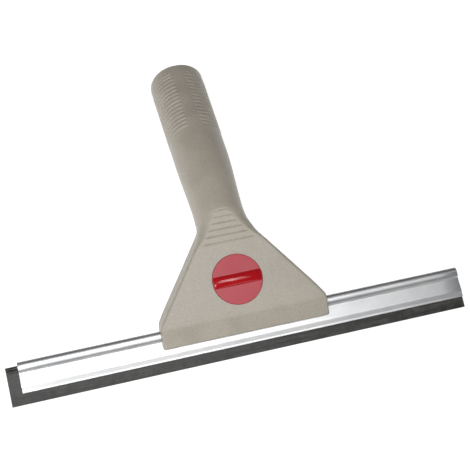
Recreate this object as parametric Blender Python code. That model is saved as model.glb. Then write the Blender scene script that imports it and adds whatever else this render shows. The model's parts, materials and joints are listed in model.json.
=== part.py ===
"""Window squeegee: a plastic handle and head that clamp an aluminium channel with a rubber blade.

All sizes below are millimetres in the head's own frame: X runs along the blade, Y from the
blade to the handle with 0 on top of the channel, and Z out of the head's front face with 0 in
the middle of the blade. At the end the whole tool is laid on its back on the ground, knob up.
"""
import math

import bmesh
import bpy
import numpy as np
from mathutils import Matrix, Vector

MM = 0.001
GAP = 0.3                    # clearance between touching pieces

# blade set
CHANNEL_LENGTH = 292.0
CHANNEL_HEIGHT = 20.0
BEAD_RADIUS = 3.67           # round bead along the channel's top
WAIST = 2.2                  # half depth where the bead meets the channel's face
WAIST_Y = -7.2
LIP = 3.4                    # half depth at the lips
LIP_Y = -16.4
CHANNEL_WALL = 0.95
BLADE_LENGTH = 300.0
BLADE_SHIFT = -3.85          # the rubber stands out further at the left end
BLADE_EDGE_Y = -26.95        # the wiping edge
BLADE_HALF = 1.0

# head and handle
FRONT_Z = 11.5
BACK_Z = 9.0
JAW_Y = -12.5                # lower end of the jaws
FRONT_CREASE_Y = -2.5        # where the front face turns into the sloping front jaw
BACK_CREASE_Y = -4.0
FRONT_JAW_Z = 6.3
BACK_JAW_Z = 5.3
HEAD_HALF_WIDTH = 54.3
SIDE_Y = 5.3                 # the sides slope in from here
SIDE_SLOPE = 0.725
FACE_HALF_WIDTH = 52.0       # flat front face at its foot
FACE_SLOPE = 0.69
NECK_RADIUS = 16.7
GRIP_RADIUS = 18.5
END_RADIUS = 19.0
STRAIGHT_Y = 40.5            # the middle line is straight up to here
NECK_BEND = math.radians(22.0)
NECK_BEND_RADIUS = 68.0
GRIP_BEND = math.radians(8.0)
GRIP_BEND_LENGTH = 56.0
HANDLE_LENGTH = 127.0        # along the middle line, from the end of the neck bend
END_ROUND = 2.0
WALL = 2.6
COVER_TOP_Y = 50.0
CAVITY_FLOOR_Y = 3.4
SOCKET_MOUTH_RADIUS = 14.4
SOCKET_FLOOR_RADIUS = 13.0
SOCKET_DEPTH = 105.0

# lock
KNOB_Y = 21.2
KNOB_RADIUS = 16.25
KNOB_TOP_Z = 12.0
KNOB_THICKNESS = 3.0
BAR_HALF_WIDTH = 3.25
BAR_HEIGHT = 3.0
SHAFT_RADIUS = 4.7
SHAFT_HALF_SQUARE = 3.2
RECESS_FLOOR_Z = 8.7
BOSS_Z = 6.2                 # inner face of the thickened wall under the knob
CAM_MEAN = 7.0
CLAMP_LIFT = 2.0             # travel of the clamp yoke over a quarter turn
YOKE_HALF_WIDTH = 13.5
YOKE_HALF_DEPTH = 3.0
YOKE_FOOT_Y = 5.5
YOKE_TOP_Y = 31.0
PAD_HALF_WIDTH = 12.5
PAD_HALF_DEPTH = 2.4
WINDOW_MARGIN = 0.4

SCREW_PLACES = [(-42.0, 10.5), (42.0, 10.5), (-25.0, 33.0), (25.0, 33.0), (0.0, 45.3)]

GREIGE = (0.50, 0.47, 0.42)
RED = (0.56, 0.03, 0.05)
ALUMINIUM = (0.74, 0.75, 0.77)
STEEL = (0.55, 0.56, 0.58)
BLACK = (0.03, 0.03, 0.033)
NATURAL = (0.72, 0.71, 0.66)

for scene_object in list(bpy.data.objects):
    bpy.data.objects.remove(scene_object)


# ---------------------------------------------------------------- tools

def material(name, colour, roughness, metallic=0.0):
    mat = bpy.data.materials.new(name)
    mat.use_nodes = True
    shader = mat.node_tree.nodes["Principled BSDF"]
    shader.inputs["Base Color"].default_value = (*colour, 1.0)
    shader.inputs["Roughness"].default_value = roughness
    shader.inputs["Metallic"].default_value = metallic
    return mat


def solid(name, points, faces):
    """A mesh object from points in millimetres, with its faces turned outwards."""
    mesh = bpy.data.meshes.new(name)
    mesh.from_pydata([Vector(p) * MM for p in points], [], faces)
    work = bmesh.new()
    work.from_mesh(mesh)
    bmesh.ops.recalc_face_normals(work, faces=work.faces)
    work.to_mesh(mesh)
    work.free()
    made = bpy.data.objects.new(name, mesh)
    bpy.context.scene.collection.objects.link(made)
    return made


def loft(name, rings):
    """A closed solid through rings of equal point counts, with a flat face at each end."""
    count = len(rings[0])
    points = [point for ring in rings for point in ring]
    faces = [tuple(range(count)), tuple(range(len(points) - count, len(points)))]
    for row in range(len(rings) - 1):
        for i in range(count):
            j = (i + 1) % count
            low = row * count
            faces.append((low + i, low + j, low + count + j, low + count + i))
    return solid(name, points, faces)


def along_x(name, outline, x_from, x_to):
    """A (y, z) outline carried along X."""
    return loft(name, [[(x, y, z) for y, z in outline] for x in (x_from, x_to)])


def along_z(name, outline, z_from, z_to):
    """An (x, y) outline carried along Z."""
    return loft(name, [[(x, y, z) for x, y in outline] for z in (z_from, z_to)])


def block(name, x_span, y_span, z_span):
    outline = [(x_span[0], y_span[0]), (x_span[1], y_span[0]), (x_span[1], y_span[1]), (x_span[0], y_span[1])]
    return along_z(name, outline, *z_span)


def circle(radius, count, centre=(0.0, 0.0)):
    turns = [2.0 * math.pi * (i + 0.5) / count for i in range(count)]
    return [(centre[0] + radius * math.cos(a), centre[1] + radius * math.sin(a)) for a in turns]


def disc(name, radius, z_from, z_to, centre=(0.0, 0.0), count=32):
    return along_z(name, circle(radius, count, centre), z_from, z_to)


def turned(name, profile, count, closed=False):
    """A profile of (radius, z) points turned about Z: end points lie on the axis, or it is a loop."""
    turns = [2.0 * math.pi * i / count for i in range(count)]
    inner = profile if closed else profile[1:-1]
    points = [(r * math.cos(a), r * math.sin(a), z) for r, z in inner for a in turns]
    rows = len(inner)
    faces = []
    for row in range(rows if closed else rows - 1):
        following = (row + 1) % rows
        for i in range(count):
            j = (i + 1) % count
            faces.append((row * count + i, row * count + j, following * count + j, following * count + i))
    if not closed:
        points += [(0.0, 0.0, profile[0][1]), (0.0, 0.0, profile[-1][1])]
        last = (rows - 1) * count
        for i in range(count):
            j = (i + 1) % count
            faces.append((i, j, len(points) - 2))
            faces.append((last + j, last + i, len(points) - 1))
    return solid(name, points, faces)


def combine(target, tool, operation):
    """Boolean of target with tool, which is used up."""
    step = target.modifiers.new("step", "BOOLEAN")
    step.operation = operation
    step.object = tool
    evaluated = target.evaluated_get(bpy.context.evaluated_depsgraph_get())
    result = bpy.data.meshes.new_from_object(evaluated)
    target.modifiers.clear()
    target.data = result
    bpy.data.objects.remove(tool)


def cut(target, tool):
    combine(target, tool, "DIFFERENCE")


def add(target, tool):
    combine(target, tool, "UNION")


def smooth_step(value, start, end):
    t = min(max((value - start) / (end - start), 0.0), 1.0)
    return t * t * (3.0 - 2.0 * t)


def mix(a, b, t):
    return a + (b - a) * t


def soft_max(a, b, softness):
    return 0.5 * (a + b + math.hypot(a - b, softness))


def soft_min(a, b, softness):
    return 0.5 * (a + b - math.hypot(a - b, softness))


# ---------------------------------------------------------------- outer form of head and handle

NECK_BEND_LENGTH = NECK_BEND * NECK_BEND_RADIUS
GRIP_BEND_RADIUS = GRIP_BEND_LENGTH / GRIP_BEND
END_S = NECK_BEND_LENGTH + HANDLE_LENGTH


def middle_line(s):
    """(y, z, lean) at distance s past the head's straight part: two arcs, then straight."""
    if s <= 0.0:
        return STRAIGHT_Y + s, 0.0, 0.0
    first = min(s, NECK_BEND_LENGTH) / NECK_BEND_RADIUS
    y = STRAIGHT_Y + NECK_BEND_RADIUS * math.sin(first)
    z = -NECK_BEND_RADIUS * (1.0 - math.cos(first))
    if s <= NECK_BEND_LENGTH:
        return y, z, first
    second = NECK_BEND + min(s - NECK_BEND_LENGTH, GRIP_BEND_LENGTH) / GRIP_BEND_RADIUS
    y += GRIP_BEND_RADIUS * (math.sin(second) - math.sin(NECK_BEND))
    z += GRIP_BEND_RADIUS * (math.cos(second) - math.cos(NECK_BEND))
    rest = max(s - NECK_BEND_LENGTH - GRIP_BEND_LENGTH, 0.0)
    return y + rest * math.cos(second), z - rest * math.sin(second), second


def tube_radius(s):
    """Neck radius, swelling to the grip radius, then a slow taper outwards to the end."""
    t = s - NECK_BEND_LENGTH
    swell = mix(NECK_RADIUS, GRIP_RADIUS, smooth_step(t, 0.0, 50.0))
    return swell + (END_RADIUS - GRIP_RADIUS) * max(t - 50.0, 0.0) / (HANDLE_LENGTH - 50.0)


def half_outline(x_corner, height, flat, x_side, steps):
    """Points from the face's flat, round its corner, towards the side at height 0."""
    corner = Vector((x_corner, height))
    side = Vector((x_side, 0.0)) - corner
    reach = min(x_corner - flat, 0.97 * side.length)
    start = Vector((x_corner - reach, height))
    end = corner + side.normalized() * reach
    points = []
    for i in range(steps + 1):
        t = i / steps
        turn = math.acos(max(-1.0, min(1.0, side.normalized().x)))
        weight = math.cos(0.5 * turn)
        basis = ((1 - t) ** 2, 2 * t * (1 - t) * weight, t * t)
        total = sum(basis)
        points.append((start * basis[0] + corner * basis[1] + end * basis[2]) / total)
    return points


def body_ring(s, inset=0.0, end_inset=0.0, steps=5):
    """Cross-section of head, neck or grip at distance s, square to the middle line."""
    y, z, lean = middle_line(s)
    tube = tube_radius(s)
    side = soft_max(HEAD_HALF_WIDTH - 0.7 - SIDE_SLOPE * (y - SIDE_Y), tube, 3.0)
    half_width = soft_min(side, HEAD_HALF_WIDTH, 2.0) if s < 0.0 else side
    if s > NECK_BEND_LENGTH:
        half_width = tube
    plane = (FRONT_Z - z) / math.cos(lean)
    front = soft_min(plane, tube, 0.6) if s > 0.0 else plane
    roundness = smooth_step(s, 0.0, 24.0)
    back_roundness = smooth_step(s, -8.0, 24.0)
    back = mix(BACK_Z, tube, back_roundness)
    if s < 0.0:
        front = mix(FRONT_JAW_Z, front, min((y - JAW_Y) / (FRONT_CREASE_Y - JAW_Y), 1.0))
        back = mix(BACK_JAW_Z, back, min((y - JAW_Y) / (BACK_CREASE_Y - JAW_Y), 1.0))
    face_y = y + front * math.sin(lean)
    flat = FACE_HALF_WIDTH - FACE_SLOPE * max(face_y + 0.4, 0.0) - 2.5 * smooth_step(face_y, 46.0, 54.0)
    flat = max(min(flat, half_width - 2.3), 0.4)
    corner = mix(flat + 1.3, half_width, roundness)
    back_corner = mix(half_width - 2.5, half_width, back_roundness)
    back_flat = mix(back_corner - 2.0, 0.4, back_roundness)
    shrink = inset + end_inset
    half_width -= shrink
    corner = max(corner - shrink, 1.0)
    back_corner = max(back_corner - shrink, 1.0)
    flat = max(flat - shrink, 0.3)
    back_flat = max(back_flat - shrink, 0.3)
    upper = half_outline(corner, front - shrink, flat, half_width, steps)
    lower = half_outline(back_corner, back - shrink, back_flat, half_width, steps)
    right = [(p.x, p.y) for p in upper] + [(half_width, 0.0)] + [(p.x, -p.y) for p in reversed(lower)]
    left = [(-x, h) for x, h in reversed(right)]
    sine = math.sin(lean)
    cosine = math.cos(lean)
    return [(x, y + h * sine, z + h * cosine) for x, h in right + left]


HEAD_STATIONS = [JAW_Y, -8.0, BACK_CREASE_Y, FRONT_CREASE_Y, 1.5, 4.0, 6.5, 10.0, 16.0, 24.0, 32.0, 38.0]


def outer_form(name):
    stations = [y - STRAIGHT_Y for y in HEAD_STATIONS]
    stations += [2.0 + 3.0 * i for i in range(9)]
    stations += [NECK_BEND_LENGTH + t for t in (3.0, 12.0, 24.0, 36.0, 50.0, 88.0)]
    rings = [body_ring(s) for s in stations]
    for turn in (0.0, 45.0, 90.0):
        angle = math.radians(turn)
        s = END_S - END_ROUND * (1.0 - math.sin(angle))
        rings.append(body_ring(s, end_inset=END_ROUND * (1.0 - math.cos(angle))))
    return loft(name, rings)


def cavity(name):
    stations = [y - STRAIGHT_Y for y in (CAVITY_FLOOR_Y, 6.5, 10.0, 16.0, 24.0, 32.0, 38.0)] + [3.0, 7.0, 11.0]
    return loft(name, [body_ring(s, inset=WALL, steps=3) for s in stations])


def slot_outline():
    """The channel's outer outline, one gap bigger, open below the jaws."""
    radius = BEAD_RADIUS + GAP
    meet = math.asin((WAIST + GAP) / radius)
    arc = [math.pi - meet - (math.pi - meet) * i / 10 for i in range(11)]
    right = [(-BEAD_RADIUS + radius * math.cos(a), radius * math.sin(a)) for a in arc[:-1]]
    slope = (LIP - WAIST) / (WAIST_Y - LIP_Y)
    below = JAW_Y - 2.0
    right = [(below, WAIST + GAP + slope * (WAIST_Y - below)), (WAIST_Y, WAIST + GAP)] + right
    top = [(-BEAD_RADIUS + radius, 0.0)]
    return right + top + [(y, -z) for y, z in reversed(right)]


def common_cuts(target):
    cut(target, along_x("channel_way", slot_outline(), -HEAD_HALF_WIDTH - 5.0, HEAD_HALF_WIDTH + 5.0))
    cut(target, cavity("hollow"))
    window_x = PAD_HALF_WIDTH + WINDOW_MARGIN
    window_z = PAD_HALF_DEPTH + WINDOW_MARGIN
    cut(target, block("pad_window", (-window_x, window_x), (-1.5, CAVITY_FLOOR_Y + 1.0), (-window_z, window_z)))


# ---------------------------------------------------------------- handle body and back cover

def make_handle_body():
    body = outer_form("handle_body")
    wide = HEAD_HALF_WIDTH + 10.0
    cut(body, block("cover_room", (-wide, wide), (JAW_Y - 5.0, COVER_TOP_Y + GAP), (-40.0, 0.5 * GAP)))
    common_cuts(body)
    add(body, disc("knob_boss", KNOB_RADIUS + 2.8, BOSS_Z, FRONT_Z - 1.0, (0.0, KNOB_Y)))
    for side in (-1, 1):
        inner = YOKE_HALF_WIDTH + GAP
        rail_x = sorted((side * inner, side * (inner + 2.0)))
        add(body, block("rail", rail_x, (CAVITY_FLOOR_Y - 1.0, YOKE_TOP_Y), (GAP, FRONT_Z - 1.0)))
    for place in SCREW_PLACES:
        add(body, disc("screw_boss", 3.6, 0.5 * GAP, FRONT_Z - 1.0, place, 16))
        cut(body, disc("screw_hole", 1.6, -1.0, 7.5, place, 12))
    cut(body, disc("knob_recess", KNOB_RADIUS + GAP, RECESS_FLOOR_Z, 20.0, (0.0, KNOB_Y), 48))
    cut(body, disc("shaft_hole", SHAFT_RADIUS + GAP, 0.0, 20.0, (0.0, KNOB_Y), 24))
    y, z, lean = middle_line(END_S)
    rows = []
    for depth, radius in ((SOCKET_DEPTH, SOCKET_FLOOR_RADIUS), (-1.0, SOCKET_MOUTH_RADIUS)):
        centre_y = y - depth * math.cos(lean)
        centre_z = z + depth * math.sin(lean)
        ring = circle(radius, 32)
        rows.append([(x, centre_y + h * math.sin(lean), centre_z + h * math.cos(lean)) for x, h in ring])
    cut(body, loft("pole_socket", rows))
    return body


def make_back_cover():
    cover = outer_form("back_cover")
    wide = HEAD_HALF_WIDTH + 10.0
    cut(cover, block("handle_room", (-wide, wide), (COVER_TOP_Y, 400.0), (-200.0, 100.0)))
    cut(cover, block("front_room", (-wide, wide), (JAW_Y - 5.0, COVER_TOP_Y + 5.0), (-0.5 * GAP, 60.0)))
    common_cuts(cover)
    for place in SCREW_PLACES:
        add(cover, disc("screw_sleeve", 4.4, -BACK_Z + 1.0, -0.5 * GAP, place, 16))
        cut(cover, disc("head_recess", 3.1, -30.0, -5.7, place, 16))
        cut(cover, disc("shank_hole", 1.7, -30.0, 1.0, place, 12))
    return cover


def make_cover_screws():
    screws = []
    for number, (x, y) in enumerate(SCREW_PLACES, 1):
        profile = [(0.0, -8.0), (1.9, -8.0), (2.7, -7.3), (2.7, -6.1), (1.3, -6.0), (1.3, 5.0), (0.0, 6.2)]
        screw = turned(f"cover_screw_{number}", profile, 12)
        cut(screw, block("drive_slot", (-4.0, 4.0), (-0.4, 0.4), (-9.0, -7.2)))
        screw.location = Vector((x, y, 0.0)) * MM
        screws.append(screw)
    return screws


# ---------------------------------------------------------------- lock: all turn about the knob's axis

def make_knob():
    profile = [(0.0, KNOB_TOP_Z), (KNOB_RADIUS - 0.6, KNOB_TOP_Z), (KNOB_RADIUS, KNOB_TOP_Z - 0.6)]
    disc_under = KNOB_TOP_Z - KNOB_THICKNESS
    profile += [(KNOB_RADIUS, disc_under), (SHAFT_RADIUS, disc_under), (SHAFT_RADIUS, 4.1), (0.0, 4.1)]
    knob = turned("lock_knob", profile, 48)
    half = SHAFT_HALF_SQUARE
    add(knob, block("drive_square", (-half, half), (-half, half), (-3.0, 5.0)))
    add(knob, finger_bar("finger_bar"))
    cut(knob, disc("screw_pilot", 1.7, -5.0, 3.5, (0.0, 0.0), 12))
    return knob


def finger_bar(name):
    """A half-round bar across the disc, arched along its length, low at both ends."""
    reach = KNOB_RADIUS - 0.8
    rings = []
    for i in range(13):
        u = -1.0 + 2.0 * i / 12
        crown = BAR_HEIGHT * (1.0 - 0.8 * u * u)
        half = BAR_HALF_WIDTH * (1.0 - 0.12 * u ** 4)
        arc = [math.pi * k / 8 for k in range(9)]
        ring = [(reach * u, half * math.cos(a), KNOB_TOP_Z + crown * math.sin(a)) for a in arc]
        ring += [(reach * u, -half, KNOB_TOP_Z - 1.0), (reach * u, half, KNOB_TOP_Z - 1.0)]
        rings.append(ring)
    return loft(name, rings)


def make_knob_seal():
    """A rubber ring round the shaft, between the wall and the cam."""
    turns = [2.0 * math.pi * i / 8 for i in range(8)]
    return turned("knob_seal", [(5.85 + 0.75 * math.cos(a), 5.0 + 0.75 * math.sin(a)) for a in turns], 24, True)


def cam_outline(count):
    """Outline from its support distance: mean plus odd harmonics, so its breadth stays the same."""
    first = 1.146 * CLAMP_LIFT / 2.0
    third = -0.127 * CLAMP_LIFT / 2.0
    points = []
    for i in range(count):
        a = 2.0 * math.pi * i / count
        b = a + 0.25 * math.pi
        support = CAM_MEAN + first * math.cos(b) + third * math.cos(3.0 * b)
        slope = -first * math.sin(b) - 3.0 * third * math.sin(3.0 * b)
        points.append((support * math.cos(a) - slope * math.sin(a), support * math.sin(a) + slope * math.cos(a)))
    return points


def make_cam():
    cam = along_z("lock_cam", cam_outline(48), -2.7, 3.7)
    half = SHAFT_HALF_SQUARE + GAP
    cut(cam, block("square_hole", (-half, half), (-half, half), (-5.0, 6.0)))
    return cam


def make_cam_washer():
    return turned("cam_washer", [(1.8, -4.1), (5.6, -4.1), (5.6, -3.3), (1.8, -3.3)], 20, True)


def make_cam_screw():
    profile = [(0.0, -6.2), (2.2, -6.2), (3.0, -5.6), (3.0, -4.4), (1.4, -4.4), (1.4, 2.0), (0.0, 3.0)]
    screw = turned("cam_screw", profile, 12)
    cut(screw, block("drive_slot", (-4.0, 4.0), (-0.4, 0.4), (-7.0, -5.3)))
    return screw


# ---------------------------------------------------------------- clamp: slides along Y

def make_clamp_yoke():
    depth = (-YOKE_HALF_DEPTH, YOKE_HALF_DEPTH)
    yoke = block("clamp_yoke", (-YOKE_HALF_WIDTH, YOKE_HALF_WIDTH), (YOKE_FOOT_Y, YOKE_TOP_Y), depth)
    low = KNOB_Y - CAM_MEAN - 0.5 * CLAMP_LIFT - GAP
    high = KNOB_Y + CAM_MEAN - 0.5 * CLAMP_LIFT + GAP
    half = CAM_MEAN + 0.5 * CLAMP_LIFT + 0.8
    cut(yoke, block("cam_window", (-half, half), (low, high), (-10.0, 10.0)))
    return yoke


def make_clamp_pad():
    """A rubber block whose foot is hollowed to the bead's round."""
    radius = BEAD_RADIUS + GAP
    half = PAD_HALF_DEPTH
    top = YOKE_FOOT_Y - GAP
    foot = []
    for i in range(9):
        z = half - 2.0 * half * i / 8
        foot.append((-BEAD_RADIUS + math.sqrt(radius * radius - z * z), z))
    outline = [(top, -half), (top, half)] + foot
    return along_x("clamp_pad", outline, -PAD_HALF_WIDTH, PAD_HALF_WIDTH)


# ---------------------------------------------------------------- blade set: slides along X

def channel_side(radius, waist, lip, foot):
    """Right half of a channel outline, from the lip's foot up to the top of the bead."""
    meet = math.asin(waist / radius)
    arc = [math.pi - meet - (math.pi - meet) * i / 9 for i in range(9)]
    bead = [(-BEAD_RADIUS + radius * math.cos(a), radius * math.sin(a)) for a in arc]
    return foot + [(LIP_Y, lip), (WAIST_Y, waist)] + bead


def make_channel():
    inner_radius = BEAD_RADIUS - CHANNEL_WALL
    inner_waist = BLADE_HALF + GAP
    bottom = -CHANNEL_HEIGHT
    outer = channel_side(BEAD_RADIUS, WAIST, LIP, [(bottom, LIP - 1.2), (bottom + 0.7, LIP - 0.5)])
    outer.append((0.0, 0.0))
    inner = channel_side(inner_radius, inner_waist, inner_waist, [(bottom, inner_waist)])
    inner.append((-BEAD_RADIUS + inner_radius, 0.0))
    inner[1] = (LIP_Y, inner_waist + 0.8)
    outline = outer + [(y, -z) for y, z in reversed(outer[:-1])]
    inside = inner + [(y, -z) for y, z in reversed(inner[:-1])]
    half = 0.5 * CHANNEL_LENGTH
    return along_x("channel", outline + list(reversed(inside)), -half, half)


def make_rubber_blade():
    bead_height = 1.5
    bead_width = 2.1
    neck = 0.75
    meet = math.asin(neck / bead_width)
    arc = [math.pi - meet - (math.pi - meet) * i / 8 for i in range(9)]
    bead = [(-BEAD_RADIUS + bead_height * math.cos(a), bead_width * math.sin(a)) for a in arc]
    right = [(BLADE_EDGE_Y, BLADE_HALF), (-6.4, BLADE_HALF), (-5.9, neck)] + bead
    outline = right + [(y, -z) for y, z in reversed(right[:-1])]
    half = 0.5 * BLADE_LENGTH
    return along_x("rubber_blade", outline, BLADE_SHIFT - half, BLADE_SHIFT + half)


def make_blade_clip(name, side):
    """A spring-steel strip in the bead, over the rubber, close to one end of the channel."""
    ends = sorted((side * (0.5 * CHANNEL_LENGTH - 2.0), side * (0.5 * CHANNEL_LENGTH - 14.0)))
    return block(name, ends, (-1.87, -1.42), (-0.85, 0.85))


# ---------------------------------------------------------------- assembly

def finish(piece, mat, parent):
    piece.data.materials.clear()
    piece.data.materials.append(mat)
    piece.data.shade_smooth()
    piece.data.set_sharp_from_angle(angle=math.radians(30.0))
    piece.parent = parent


def lay_down(tool, pieces):
    """Lean the tool back until the blade's edge and the grip's end rim lie on the ground."""
    y, z, lean = middle_line(END_S - END_ROUND)
    rim_y = y - END_RADIUS * math.sin(lean)
    rim_z = z - END_RADIUS * math.cos(lean)
    tool.rotation_euler.x = math.atan2(-BLADE_HALF - rim_z, rim_y - BLADE_EDGE_Y)
    bpy.context.view_layer.update()
    depsgraph = bpy.context.evaluated_depsgraph_get()
    corners = []
    for piece in pieces:
        mesh = piece.evaluated_get(depsgraph).data
        flat = np.empty(3 * len(mesh.vertices))
        mesh.vertices.foreach_get("co", flat)
        place = np.array(piece.matrix_world)
        corners.append(flat.reshape(-1, 3) @ place[:3, :3].T + place[:3, 3])
    cloud = np.concatenate(corners)
    low = cloud.min(axis=0)
    high = cloud.max(axis=0)
    tool.location = (-0.5 * (low[0] + high[0]), -0.5 * (low[1] + high[1]), -low[2])
    bpy.context.view_layer.update()


greige = material("greige_plastic", GREIGE, 0.55)
cover_greige = material("cover_plastic", GREIGE, 0.6)
red = material("red_plastic", RED, 0.35)
aluminium = material("anodised_aluminium", ALUMINIUM, 0.35, 1.0)
screw_steel = material("zinc_steel", STEEL, 0.4, 1.0)
clip_steel = material("spring_steel", STEEL, 0.3, 1.0)
blade_rubber = material("blade_rubber", BLACK, 0.65)
pad_rubber = material("pad_rubber", BLACK, 0.8)
natural = material("natural_plastic", NATURAL, 0.5)

squeegee = bpy.data.objects.new("squeegee", None)
knob_axis = bpy.data.objects.new("knob_axis", None)
for empty in (squeegee, knob_axis):
    bpy.context.scene.collection.objects.link(empty)
knob_axis.location = (0.0, KNOB_Y * MM, 0.0)
knob_axis.parent = squeegee

parts = [
    (make_handle_body(), greige, squeegee),
    (make_back_cover(), cover_greige, squeegee),
    (make_knob(), red, knob_axis),
    (make_knob_seal(), pad_rubber, knob_axis),
    (make_cam(), natural, knob_axis),
    (make_cam_washer(), screw_steel, knob_axis),
    (make_cam_screw(), screw_steel, knob_axis),
    (make_clamp_yoke(), natural, squeegee),
    (make_clamp_pad(), pad_rubber, squeegee),
    (make_channel(), aluminium, squeegee),
    (make_blade_clip("blade_clip_left", -1), clip_steel, squeegee),
    (make_blade_clip("blade_clip_right", 1), clip_steel, squeegee),
    (make_rubber_blade(), blade_rubber, squeegee),
]
parts += [(screw, screw_steel, squeegee) for screw in make_cover_screws()]
for piece, mat, parent in parts:
    finish(piece, mat, parent)
lay_down(squeegee, [piece for piece, mat, parent in parts])
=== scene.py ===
"""Window squeegee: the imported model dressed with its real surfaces, in the order it is put together.

Shapes are worked out in millimetres in the head's own frame: X along the blade, Y from the blade
to the grip with 0 on top of the channel, Z out of the front face with 0 in the blade's middle.
"""
import json
import math

import bpy
import numpy as np
from mathutils import Matrix


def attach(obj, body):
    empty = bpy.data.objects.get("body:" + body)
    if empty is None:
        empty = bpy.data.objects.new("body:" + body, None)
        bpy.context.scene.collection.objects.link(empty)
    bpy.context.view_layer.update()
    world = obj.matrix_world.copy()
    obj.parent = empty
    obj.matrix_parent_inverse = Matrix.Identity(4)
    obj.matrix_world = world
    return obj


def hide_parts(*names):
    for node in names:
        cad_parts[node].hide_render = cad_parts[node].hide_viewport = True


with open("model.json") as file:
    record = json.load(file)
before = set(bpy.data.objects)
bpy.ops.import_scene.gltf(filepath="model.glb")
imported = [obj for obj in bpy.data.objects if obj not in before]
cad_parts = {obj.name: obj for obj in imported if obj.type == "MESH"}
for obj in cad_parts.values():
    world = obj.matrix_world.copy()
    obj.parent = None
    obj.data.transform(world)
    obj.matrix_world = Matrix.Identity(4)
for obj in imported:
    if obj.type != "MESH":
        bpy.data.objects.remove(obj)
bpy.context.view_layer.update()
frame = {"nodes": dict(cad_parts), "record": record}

# ------------------------------------------------------------------ how the tool lies
# The squeegee lies on its back: the knob's axis stands square to the head's front face, so the
# head's frame comes from that joint. Every outline below is placed with it.
KNOB_Y = 21.2
CREASE_ANGLE = 35.0
lock_joint = next(j for j in frame["record"]["behaviour"]["joints"] if j["name"] == "lock_turn")
face_axis = np.array(lock_joint["axis"]) / np.linalg.norm(lock_joint["axis"])
blade_axis = np.array([1.0, 0.0, 0.0])
grip_axis = np.cross(face_axis, blade_axis)
head_axes = np.stack([blade_axis, grip_axis, face_axis])
head_origin = np.array(lock_joint["pos_m"]) - 0.001 * KNOB_Y * grip_axis


def placed(points):
    """Points in the head's frame, in millimetres, as points of the model in metres."""
    return head_origin + 0.001 * (np.asarray(points, dtype=float) @ head_axes)


def piece_from(name, points, faces, crease=CREASE_ANGLE):
    """A mesh piece from points in the head's frame; edges that turn more than crease stay sharp."""
    mesh = bpy.data.meshes.new(name)
    mesh.from_pydata(placed(points), [], faces)
    mesh.shade_smooth()
    mesh.set_sharp_from_angle(angle=math.radians(crease))
    piece = bpy.data.objects.new(name, mesh)
    bpy.context.scene.collection.objects.link(piece)
    return piece


def grid_faces(rows, columns):
    """Quads of a grid whose columns run round; row r, column c is point r * columns + c."""
    here = np.arange(rows - 1)[:, None] * columns
    below = here + columns
    column = np.arange(columns)[None, :]
    after = (column + 1) % columns
    corners = (here + column, here + after, below + after, below + column)
    return np.stack(corners, axis=-1).reshape(-1, 4).tolist()


def tube_of(name, rings, crease=CREASE_ANGLE):
    """A closed solid: rings (rows, columns, 3) joined by quads, with a flat face at each end."""
    rows, columns = rings.shape[:2]
    faces = [quad[::-1] for quad in grid_faces(rows, columns)]
    faces.append(list(range(columns)))
    faces.append(list(range(rows * columns - 1, (rows - 1) * columns - 1, -1)))
    return piece_from(name, rings.reshape(-1, 3), faces, crease)


# ------------------------------------------------------------------ camera
# A short telephoto view from in front of the head, a little left of the knob and below it.
CAMERA_PLACE = (-109.8, -52.5, 711.6)
CAMERA_PITCH = math.radians(-10.04)
CAMERA_YAW = math.radians(7.24)
CAMERA_ROLL = math.radians(12.91)
CAMERA_LENS = 85.4
SENSOR_WIDTH = 36.0

view_turn = (Matrix.Rotation(CAMERA_PITCH, 3, "X") @ Matrix.Rotation(CAMERA_YAW, 3, "Y")
             @ Matrix.Rotation(CAMERA_ROLL, 3, "Z")).transposed()
camera_data = bpy.data.cameras.new("camera")
camera_data.lens = CAMERA_LENS
camera_data.sensor_width = SENSOR_WIDTH
camera = bpy.data.objects.new("camera", camera_data)
bpy.context.scene.collection.objects.link(camera)
head_turn = Matrix(head_axes.T.tolist())
camera.matrix_world = Matrix.Translation(placed(CAMERA_PLACE)) @ (head_turn @ view_turn).to_4x4()
bpy.context.scene.camera = camera

# ------------------------------------------------------------------ handle body
# Grip, neck and the front half of the head are one injection moulding in greige plastic with a
# fine spark-eroded grain. Ribs on the grip and shallow grooves on the neck stop wet fingers slipping.
FRONT_Z = 11.5
BACK_Z = 9.0
JAW_Y = -12.5
FRONT_CREASE_Y = -2.5
BACK_CREASE_Y = -4.0
FRONT_JAW_Z = 6.3
BACK_JAW_Z = 5.3
HEAD_HALF_WIDTH = 55.2
SIDE_Y = 6.0
SIDE_SLOPE = 0.725
SIDE_INSET = 0.7             # how far inside the widest point the sloping side starts
SIDE_SOFTNESS = 1.6          # rounding of the sloping side into the neck
SHOULDER_SOFTNESS = 2.0      # rounding of the sloping side into the widest part
FACE_HALF_WIDTH = 53.4
FACE_SLOPE = 0.715
FACE_FOOT_Y = -0.4
FACE_SOFTNESS = 0.6          # rounding of the flat face into the neck
NECK_NARROWING = 2.5         # how much the flat face draws in between these two heights
NECK_NARROWING_Y = (42.0, 54.0)
FACE_MARGIN = 2.3            # least distance from the flat face to the side
LEAST_FLAT = 0.4
LEAST_CORNER = 1.0
LEAST_INNER_FLAT = 0.3
CORNER_LIMIT = 0.97          # the most of the side wall that a rounded corner may take up
CORNER_REACH = 1.8
BACK_CORNER_INSET = 2.5
BACK_CORNER_REACH = 2.0
ROUND_FROM_S = 0.0           # from here the front turns from flat to round
BACK_ROUND_FROM_S = -8.0     # and the back from here
ROUND_TO_S = 24.0            # where both are round
NECK_RADIUS = 16.5
GRIP_RADIUS = 18.35
END_RADIUS = 18.95
SWELL_LENGTH = 50.0
STRAIGHT_Y = 40.5
NECK_BEND = math.radians(22.0)
NECK_BEND_RADIUS = 68.0
GRIP_BEND = math.radians(8.0)
GRIP_BEND_LENGTH = 56.0
HANDLE_LENGTH = 127.0
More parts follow.
